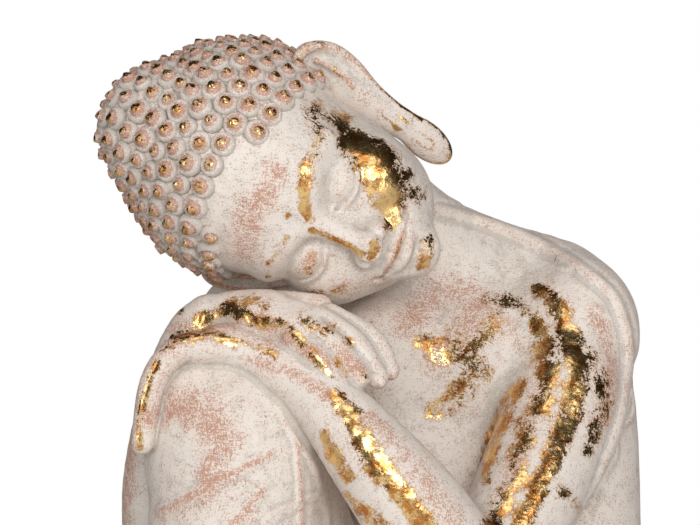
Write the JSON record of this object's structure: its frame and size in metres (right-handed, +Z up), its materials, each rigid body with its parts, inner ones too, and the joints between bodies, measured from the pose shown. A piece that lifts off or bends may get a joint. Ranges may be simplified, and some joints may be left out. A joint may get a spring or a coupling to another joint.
{
  "type": "seated buddha statue",
  "caption": "Seated figure resting its cheek on hands folded over a raised knee, cast hollow in sections on a steel rod, with a closing plate and felt pads.",
  "frame": {"origin": "middle of the bounding box's underside, on the surface the statue stands on", "axes": "+Z up, the figure's front faces -Y, and its left side is +X"},
  "size_m": [0.3328, 0.2787, 0.4864],
  "materials": {
    "washed_stone": "pale chalk wash over rose, dry brushed",
    "gilded_stone": "pale chalk wash with broken gold leaf",
    "curled_hair": "rose under pale wash, gilded curl tips",
    "closing_plate": "plain cast plate",
    "steel": "plain drawn rod and zinc plated hardware",
    "felt": "self-adhesive pressed felt"
  },
  "bodies": {
    "root": {"face_shell": "gilded_stone", "hair_shell": "curled_hair", "left_ear": "washed_stone", "right_ear": "washed_stone", "torso_front_shell": "washed_stone", "robe_back_shell": "washed_stone", "left_arm": "gilded_stone", "right_arm": "washed_stone", "left_hand": "gilded_stone", "right_hand": "gilded_stone", "raised_leg_shell": "washed_stone", "folded_leg_shell": "washed_stone", "right_foot": "washed_stone", "left_foot": "washed_stone", "spine_rod": "steel", "rod_washer": "steel", "rod_nut": "steel", "base_plate": "closing_plate", "felt_pad_front_left": "felt", "felt_pad_front_right": "felt", "felt_pad_back_left": "felt", "felt_pad_back_right": "felt"}
  },
  "joints": []
}
